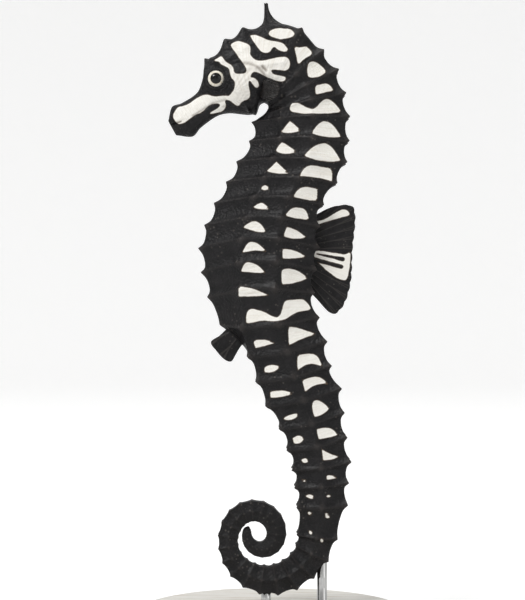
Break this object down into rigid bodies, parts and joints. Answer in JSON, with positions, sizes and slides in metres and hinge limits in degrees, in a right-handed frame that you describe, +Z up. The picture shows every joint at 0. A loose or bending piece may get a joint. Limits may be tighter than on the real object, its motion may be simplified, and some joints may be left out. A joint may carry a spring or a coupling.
{
  "type": "seahorse",
  "caption": "Life-size seahorse swimming upright, deep-bodied and ringed, with a tall coronet, a raised dorsal fin and a tail curled forward, on a round base with rods.",
  "frame": {"origin": "centre of the display base's underside", "axes": "+Z up along the standing animal, -X the way the snout and belly face, +Y the animal's right side"},
  "size_m": [0.068, 0.068, 0.1575],
  "materials": {
    "skin": "satin, near-black with ivory blotches along the flanks and on the snout",
    "eye": "wet gloss, pale ring round a black pupil",
    "fin": "thin rayed membrane, dark with pale stripes",
    "stand_base": "satin painted",
    "stand_rod": "satin"
  },
  "bodies": {
    "root": {"snout": "skin", "head": "skin", "neck": "skin", "trunk_upper": "skin", "trunk_lower": "skin", "tail_root": "skin", "tail_shaft": "skin", "tail_bend": "skin", "tail_sweep": "skin", "tail_hook": "skin", "tail_coil": "skin", "tail_tip": "skin", "coronet": "skin", "eye_left": "eye", "eye_right": "eye", "dorsal_fin": "fin", "anal_fin": "fin", "pectoral_fin_left": "fin", "pectoral_fin_right": "fin", "stand_base": "stand_base", "stand_rod_front": "stand_rod", "stand_rod_rear": "stand_rod"}
  },
  "joints": []
}
